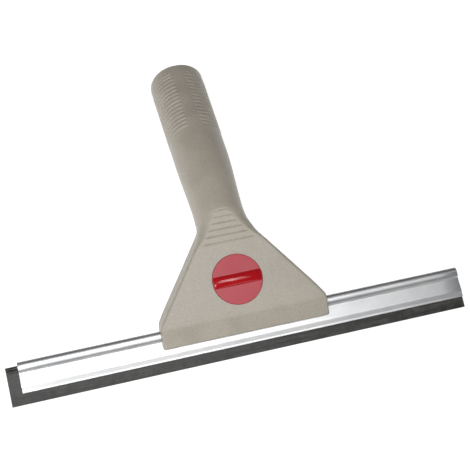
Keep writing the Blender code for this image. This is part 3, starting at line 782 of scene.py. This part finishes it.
zinc = plated_steel("zinc_plate", dark=(0.46, 0.47, 0.5), pale=(0.64, 0.65, 0.66), rough=(0.25, 0.42))
for number, place in enumerate(SCREW_PLACES, 1):
    screw = screw_piece(f"tapping_screw_{number}", place)
    screw.data.materials.append(zinc)
    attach(screw, "handle")
    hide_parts(f"cover_screw_{number}")

# ------------------------------------------------------------------ lock knob
# A red moulding: a satin disc that stands half a millimetre out of the head, and a polished
# half-round finger bar across it. Its shaft goes through the head's wall and ends in the square
# that turns the cam.
KNOB_TOP_Z = 12.0
KNOB_UNDER_Z = 9.0
KNOB_ROUND = 0.35
SHAFT_END_Z = 4.1
SHAFT_HALF_SQUARE = 3.2
PILOT_RADIUS = 1.7
BAR_HALF_WIDTH = 3.8
BAR_HEIGHT = 3.0
BAR_FALL = 0.75              # how much of its height the bar has lost at its ends
BAR_SEAT = 0.02              # the half-round starts this much above the disc
BAR_FULLNESS = 0.85          # below 1 makes the half-round section fuller
BAR_END = 0.945              # the ends round off from here, over the length below
BAR_END_LENGTH = 0.055
BAR_DEPTH = 0.6              # how deep its foot stands in the disc

rim = np.linspace(0.0, 0.5 * np.pi, 7)
rim_profile = np.column_stack([KNOB_RADIUS - KNOB_ROUND + KNOB_ROUND * np.sin(rim),
                               KNOB_TOP_Z - KNOB_ROUND + KNOB_ROUND * np.cos(rim)])
face_profile = np.array([(radius, KNOB_TOP_Z) for radius in (0.0, 4.0, 9.0, 13.0)])
shaft_profile = np.array([(KNOB_RADIUS, KNOB_UNDER_Z), (SHAFT_RADIUS, KNOB_UNDER_Z),
                          (SHAFT_RADIUS, SHAFT_END_Z), (0.0, SHAFT_END_Z)])
knob_profile = np.concatenate([face_profile, rim_profile, shaft_profile])
knob_disc = turned("knob_disc", knob_profile, knob_centre, 144)
square_x = (-SHAFT_HALF_SQUARE, SHAFT_HALF_SQUARE)
square_y = (KNOB_Y - SHAFT_HALF_SQUARE, KNOB_Y + SHAFT_HALF_SQUARE)
combined(knob_disc, [box_tool("square", square_x, square_y, (-3.0, 5.0))], "UNION")
pilot = plain_pin("pilot", PILOT_RADIUS, -5.0, 3.5, knob_centre, 24)
combined(knob_disc, [pilot], "DIFFERENCE")

bar_u = np.sin(np.linspace(-0.5 * np.pi, 0.5 * np.pi, 65))[:, None]
bar_reach = KNOB_RADIUS - KNOB_ROUND
bar_turn = np.linspace(0.0, np.pi, 33)[None, :]
into_tip = np.clip(np.abs(bar_u) - BAR_END, 0.0, 1.0) / BAR_END_LENGTH
bar_end = np.sqrt(np.clip(1.0 - into_tip ** 2, 0.0, 1.0))
bar_crown = BAR_HEIGHT * (1.0 - BAR_FALL * bar_u ** 2) * bar_end
bar_across = BAR_HALF_WIDTH * np.cos(bar_turn)
bar_x = bar_reach * bar_u * np.sqrt(1.0 - (bar_across / bar_reach) ** 2)
bar_z = KNOB_TOP_Z + BAR_SEAT + bar_crown * np.sin(bar_turn) ** BAR_FULLNESS
bar_top = np.stack([bar_x, KNOB_Y + bar_across + 0.0 * bar_u, bar_z], axis=-1)
flattened = np.array([1.0, 1.0, 0.0])
bar_foot = bar_top[:, [-1, 0]] * flattened + np.array([0.0, 0.0, KNOB_TOP_Z - BAR_DEPTH])
bar_rings = np.concatenate([bar_top, bar_foot], axis=1)
knob_bar = outward_facing(tube_of("knob_bar", bar_rings, crease=50.0))

red_satin = grained_plastic("red_satin", dark=(0.47, 0.055, 0.075), pale=(0.56, 0.085, 0.105),
                            rough=(0.48, 0.6), grain_scale=2400.0, bump=0.22)
red_gloss = grained_plastic("red_gloss", dark=(0.42, 0.006, 0.010), pale=(0.47, 0.009, 0.013),
                            rough=(0.1, 0.18), grain_scale=900.0, bump=0.012)
for piece, material in ((knob_disc, red_satin), (knob_bar, red_gloss)):
    piece.data.materials.clear()
    piece.data.materials.append(material)
    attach(piece, "lock")
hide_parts("lock_knob")

# ------------------------------------------------------------------ parts inside the head
# The cam, its seal, washer and screw turn with the knob; the yoke and its pad slide; two spring
# clips sit in the channel. Their solids are shown as they are: nylon, black rubber and steel.
natural = grained_plastic("natural_nylon", dark=(0.58, 0.56, 0.50), pale=(0.72, 0.70, 0.64),
                          rough=(0.4, 0.55), grain_scale=1500.0, bump=0.1)
pad_rubber = grained_plastic("pad_rubber", dark=(0.012, 0.012, 0.013), pale=(0.03, 0.03, 0.031),
                             rough=(0.65, 0.85), grain_scale=2200.0, bump=0.25)
spring_steel = plated_steel("spring_steel", dark=(0.5, 0.5, 0.5), pale=(0.66, 0.66, 0.66), rough=(0.18, 0.32))
inner_finish = {
    "lock_cam": natural,
    "clamp_yoke": natural,
    "clamp_pad": pad_rubber,
    "knob_seal": pad_rubber,
    "cam_washer": zinc,
    "cam_screw": zinc,
    "blade_clip_left": spring_steel,
    "blade_clip_right": spring_steel,
}
for node, material in inner_finish.items():
    frame["nodes"][node].data.materials.clear()
    frame["nodes"][node].data.materials.append(material)

# ------------------------------------------------------------------ channel
# An extruded aluminium channel, natural anodised: a round bead along the top, a waist, a face
# that leans out to the lips, and a bevelled foot. Sawn square at both ends and lightly deburred.
CHANNEL_LENGTH = 292.0
CHANNEL_HEIGHT = 20.0
CHANNEL_WALL = 0.95
CHANNEL_EDGE = 0.12          # length of the deburred edge at each end
CHANNEL_DRAW_IN = 0.012      # the part by which the outline draws in at each end
ROUNDING_LIMIT = 0.48        # the most of a straight run that one rounding may take up
BLADE_HALF = 1.0


def rounded_outline(corners, radii, count=7):
    """A polyline with each inner corner replaced by a quadratic curve of about that radius."""
    corners = np.asarray(corners, dtype=float)
    parts = [corners[:1]]
    t = np.linspace(0.0, 1.0, count)[:, None]
    for before, corner, after, radius in zip(corners, corners[1:], corners[2:], radii):
        into = corner - before
        out = after - corner
        start = corner - into / np.linalg.norm(into) * min(radius, ROUNDING_LIMIT * np.linalg.norm(into))
        end = corner + out / np.linalg.norm(out) * min(radius, ROUNDING_LIMIT * np.linalg.norm(out))
        parts.append((1.0 - t) ** 2 * start + 2.0 * t * (1.0 - t) * corner + t * t * end)
    return np.concatenate(parts + [corners[-1:]])


inner_waist = BLADE_HALF + GAP
bottom = -CHANNEL_HEIGHT
# (y, half depth) from the inner edge of the foot up to the waist
side_corners = [(bottom, inner_waist), (bottom, LIP - 0.6), (bottom + 0.2, LIP - 0.4),
                (bottom + 1.0, LIP - 0.55), (LIP_Y + 0.6, LIP), (WAIST_Y - 0.35, WAIST - 0.02)]
outer_arc = bead_arc(BEAD_RADIUS, WAIST + 0.12, 36)
outer_side = rounded_outline(side_corners + [tuple(outer_arc[0])], [0.12, 0.12, 0.3, 0.5, 0.4])
outer_half = np.concatenate([outer_side, outer_arc[1:]])
inner_arc = bead_arc(BEAD_RADIUS - CHANNEL_WALL, inner_waist, 24)
inner_half = np.concatenate([[(LIP_Y, inner_waist + 0.6), (WAIST_Y, inner_waist)], inner_arc])
mirrored = np.array([1.0, -1.0])
channel_outline = np.concatenate([outer_half, outer_half[-2::-1] * mirrored,
                                  inner_half[:-1] * mirrored, inner_half[::-1]])
end_x = 0.5 * CHANNEL_LENGTH
between_edges = np.linspace(-end_x + CHANNEL_EDGE, end_x - CHANNEL_EDGE, 25)
channel_x = np.concatenate([[-end_x], between_edges, [end_x]])
middle_yz = np.array([-10.0, 0.0])
channel_rings = []
for x in channel_x:
    draw_in = 1.0 - CHANNEL_DRAW_IN * (abs(x) > end_x - 0.5 * CHANNEL_EDGE)
    outline = middle_yz + (channel_outline - middle_yz) * draw_in
    channel_rings.append(np.column_stack([np.full(len(outline), x), outline]))
channel = outward_facing(tube_of("blade_channel", np.stack(channel_rings), crease=22.0))


def extruded_metal(name):
    """Anodised extrusion: die lines along X in height and roughness, faint stains in the colour."""
    material, tree, shader = new_material(name, Metallic=1.0)
    place = add_node(tree, "ShaderNodeTexCoord")
    stretch = add_node(tree, "ShaderNodeMapping")
    stretch.inputs["Scale"].default_value = (6.0, 5200.0, 5200.0)
    tree.links.new(place.outputs["Object"], stretch.inputs["Vector"])
    lines = add_node(tree, "ShaderNodeTexNoise", in_Scale=1.0, in_Detail=2.0, in_Roughness=0.6)
    tree.links.new(stretch.outputs["Vector"], lines.inputs["Vector"])
    grain = add_node(tree, "ShaderNodeGroup", node_tree=moulded_grain)
    grain.inputs["Grain Scale"].default_value = 3000.0
    grain.inputs["Cloud Scale"].default_value = 60.0
    tone = mixed_colour(tree, grain.outputs["Cloud"], (0.70, 0.71, 0.72), (0.80, 0.80, 0.80))
    tree.links.new(tone, shader.inputs["Base Color"])
    tree.links.new(ramped(tree, lines.outputs["Fac"], 0.3, 0.7, 0.42, 0.52), shader.inputs["Roughness"])
    bumped(tree, shader, lines.outputs["Fac"], strength=0.12, distance=0.00006)
    return material


channel.data.materials.append(extruded_metal("anodised_aluminium"))
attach(channel, "channel")
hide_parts("channel")

# ------------------------------------------------------------------ rubber blade
# Extruded soft rubber: an oval bead held in the channel's bead, a thin neck, then a flat blade
# cut to a square wiping edge. It stands out further at the left end.
BLADE_LENGTH = 300.0
BLADE_SHIFT = -3.85
BLADE_EDGE_Y = -26.95
BLADE_NECK = 0.75
BLADE_BEAD_HEIGHT = 1.5
BLADE_BEAD_DEPTH = 2.1

bead_turn = np.linspace(np.pi - math.asin(BLADE_NECK / BLADE_BEAD_DEPTH), 0.0, 22)
blade_bead = np.column_stack([-BEAD_RADIUS + BLADE_BEAD_HEIGHT * np.cos(bead_turn),
                              BLADE_BEAD_DEPTH * np.sin(bead_turn)])
blade_corners = [(BLADE_EDGE_Y, 0.0), (BLADE_EDGE_Y, BLADE_HALF), (-6.4, BLADE_HALF),
                 (-5.7, BLADE_NECK), tuple(blade_bead[0])]
blade_side = rounded_outline(blade_corners, [0.12, 0.35, 0.3], 5)
blade_half = np.concatenate([blade_side[1:], blade_bead[1:]])
blade_outline = np.concatenate([blade_half, blade_half[-2::-1] * mirrored])
blade_x = np.linspace(BLADE_SHIFT - 0.5 * BLADE_LENGTH, BLADE_SHIFT + 0.5 * BLADE_LENGTH, 61)
blade_rings = []
for x in blade_x:
    blade_rings.append(np.column_stack([np.full(len(blade_outline), x), blade_outline]))
blade = outward_facing(tube_of("wiping_rubber", np.stack(blade_rings), crease=30.0))


def blade_rubber_material(name):
    """Black rubber: fine grain, draw lines along the strip, and a thin uneven film of dust."""
    material, tree, shader = new_material(name, Specular_IOR_Level=0.5)
    place = add_node(tree, "ShaderNodeTexCoord")
    stretch = add_node(tree, "ShaderNodeMapping")
    stretch.inputs["Scale"].default_value = (30.0, 600.0, 600.0)
    tree.links.new(place.outputs["Object"], stretch.inputs["Vector"])
    drawn = add_node(tree, "ShaderNodeTexNoise", in_Scale=1.0, in_Detail=3.0, in_Roughness=0.6)
    tree.links.new(stretch.outputs["Vector"], drawn.inputs["Vector"])
    grain = add_node(tree, "ShaderNodeGroup", node_tree=moulded_grain)
    grain.inputs["Grain Scale"].default_value = 1800.0
    grain.inputs["Cloud Scale"].default_value = 160.0
    dusty = add_node(tree, "ShaderNodeMath", operation="MULTIPLY")
    tree.links.new(ramped(tree, drawn.outputs["Fac"], 0.35, 0.65), dusty.inputs[0])
    tree.links.new(grain.outputs["Cloud"], dusty.inputs[1])
    tone = mixed_colour(tree, dusty.outputs[0], (0.016, 0.016, 0.015), (0.075, 0.073, 0.066))
    tree.links.new(tone, shader.inputs["Base Color"])
    tree.links.new(ramped(tree, dusty.outputs[0], 0.0, 1.0, 0.4, 0.6), shader.inputs["Roughness"])
    bumped(tree, shader, grain.outputs["Height"], strength=0.2, distance=0.00012)
    return material


blade.data.materials.append(blade_rubber_material("blade_rubber"))
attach(blade, "blade")
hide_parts("rubber_blade")

# ------------------------------------------------------------------ floor and light
# A plain pale floor that glows a little, so that it stays white, and three soft square lights:
# the key at the left, one in front and one in front at the right. All of them face the head.
LIGHT_TARGET = (0.0, 30.0, 0.0)
FLOOR_HALF = 30.0            # metres; so large that no edge shows in a low view
FLOOR_GREY = (0.6, 0.6, 0.6, 1.0)
FLOOR_GLOW = 0.78
SKY_COLOUR = (0.92, 0.95, 1.0, 1.0)
SKY_STRENGTH = 0.04


def soft_light(name, place, size, power):
    """A square area light at place in the head's frame, facing the light target."""
    light = bpy.data.lights.new(name, "AREA")
    light.shape = "SQUARE"
    light.size = size
    light.energy = power
    lamp = bpy.data.objects.new(name, light)
    bpy.context.scene.collection.objects.link(lamp)
    start = Matrix.Translation(placed(place)).translation
    aim = Matrix.Translation(placed(LIGHT_TARGET)).translation - start
    lamp.rotation_euler = aim.to_track_quat("-Z", "Y").to_euler()
    lamp.location = start


soft_light("key", place=(-480.0, -60.0, 700.0), size=0.3, power=3.0)
soft_light("front", place=(-60.0, 130.0, 700.0), size=0.28, power=1.35)
soft_light("front_right", place=(95.0, 80.0, 700.0), size=0.32, power=1.0)

floor_mesh = bpy.data.meshes.new("floor")
floor_corners = [(-FLOOR_HALF, -FLOOR_HALF, 0.0), (FLOOR_HALF, -FLOOR_HALF, 0.0),
                 (FLOOR_HALF, FLOOR_HALF, 0.0), (-FLOOR_HALF, FLOOR_HALF, 0.0)]
floor_mesh.from_pydata(floor_corners, [], [(0, 1, 2, 3)])
floor = bpy.data.objects.new("floor", floor_mesh)
bpy.context.scene.collection.objects.link(floor)
floor_paint = new_material("pale_floor", Base_Color=FLOOR_GREY, Roughness=0.9,
                           Emission_Color=(1.0, 1.0, 1.0, 1.0), Emission_Strength=FLOOR_GLOW)[0]
floor_mesh.materials.append(floor_paint)

world = bpy.data.worlds.new("studio")
world.use_nodes = True
sky = world.node_tree.nodes["Background"]
sky.inputs["Color"].default_value = SKY_COLOUR
sky.inputs["Strength"].default_value = SKY_STRENGTH
bpy.context.scene.world = world
bpy.context.scene.view_settings.view_transform = "Standard"
